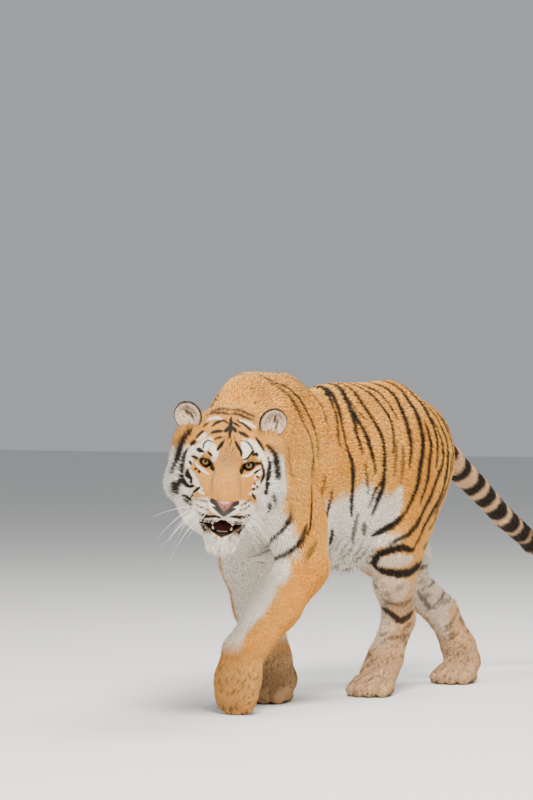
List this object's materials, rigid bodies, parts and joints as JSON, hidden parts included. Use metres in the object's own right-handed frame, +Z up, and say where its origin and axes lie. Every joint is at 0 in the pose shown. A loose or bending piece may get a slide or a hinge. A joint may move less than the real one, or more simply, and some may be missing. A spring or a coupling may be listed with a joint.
{
  "type": "tiger",
  "caption": "Life-size adult Amur tiger in mid-stride, head turned to look at the viewer, mouth slightly open, tail trailing low; one still, free-standing body.",
  "frame": {"origin": "on the floor, under the middle of the bounding box", "axes": "+Y towards the tail, -Y the way the tiger walks, +X its left side, +Z up"},
  "size_m": [0.5462, 2.2968, 0.9315],
  "materials": {
    "coat": "short dense fur, tan-orange with black stripes, white on the belly, inner legs, cheeks and chin",
    "ear": "short fur, pale grey inside, black with a white spot behind",
    "eye": "wet, clear cornea over a golden-brown iris with a round pupil",
    "nose": "bare, damp, finely pebbled pink-brown skin with dark edges",
    "tongue": "wet, dark pink"
  },
  "bodies": {
    "root": {"eye_left": "eye", "eye_right": "eye", "nose": "nose", "tongue": "tongue", "ear_left": "ear", "ear_right": "ear", "jaw": "coat", "muzzle": "coat", "head": "coat", "neck": "coat", "forearm_left": "coat", "forearm_right": "coat", "forepaw_left": "coat", "forepaw_right": "coat", "shin_left": "coat", "shin_right": "coat", "hindfoot_left": "coat", "hindfoot_right": "coat", "hindpaw_left": "coat", "hindpaw_right": "coat", "tail_root": "coat", "tail_middle": "coat", "tail_tip": "coat", "shoulder_left": "coat", "shoulder_right": "coat", "thigh_left": "coat", "thigh_right": "coat", "chest": "coat", "belly": "coat", "rump": "coat"}
  },
  "joints": []
}
